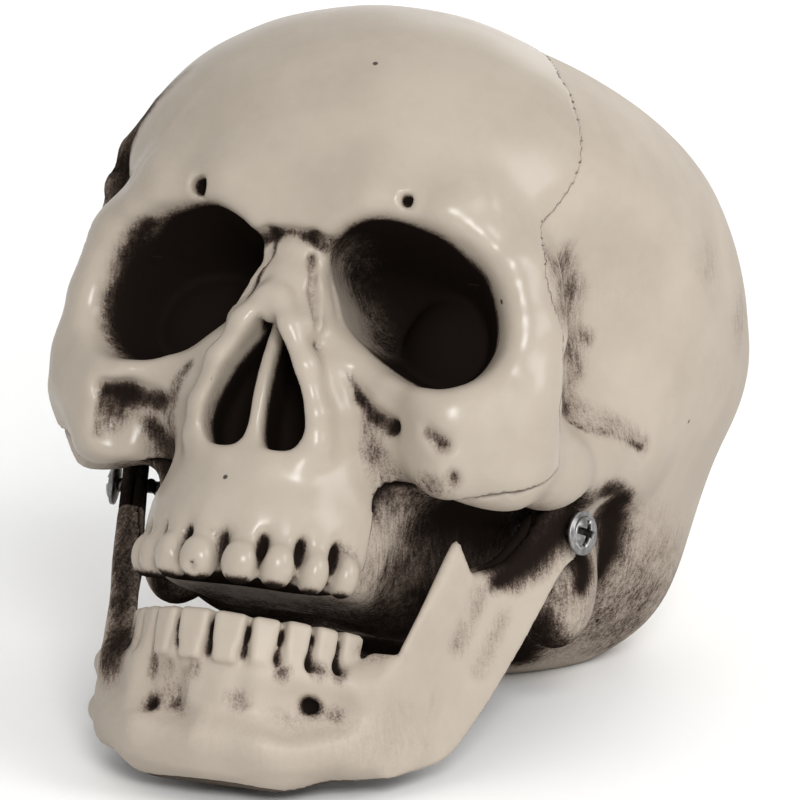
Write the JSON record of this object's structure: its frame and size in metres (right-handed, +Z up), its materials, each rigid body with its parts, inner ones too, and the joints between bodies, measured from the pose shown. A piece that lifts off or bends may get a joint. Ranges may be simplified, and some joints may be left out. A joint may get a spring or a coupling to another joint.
{
  "type": "skull decoration",
  "caption": "Life-size hollow plastic skull with moulded face and cranium shells and a jaw that swings on screws at its sides, standing on its jaw and the back of its head.",
  "frame": {"origin": "on the table, under the middle of the part's box", "axes": "+X to the skull's own left, +Y from the face to the back of the head, +Z up"},
  "size_m": [0.1344, 0.2098, 0.1542],
  "materials": {
    "face_plastic": "bone-coloured plastic with a satin gloss and a dark wash in its recesses",
    "bone_plastic": "bone-coloured plastic, satin, with smears of dark wash",
    "stained_plastic": "bone-coloured plastic stained dark brown all over",
    "zinc_steel": "zinc-plated steel, dull"
  },
  "bodies": {
    "skull": {"face_shell": "face_plastic", "cranium_shell": "bone_plastic", "jaw_screw_left": "zinc_steel", "jaw_screw_right": "zinc_steel"},
    "jaw": {"jaw_outer_shell": "bone_plastic", "jaw_inner_shell": "stained_plastic"}
  },
  "joints": [
    {"name": "jaw_hinge", "type": "hinge", "parent": "skull", "child": "jaw", "pos_m": [0, -0.02783, 0.047], "axis": [1, 0, 0], "range_deg": [-4, 24]}
  ]
}
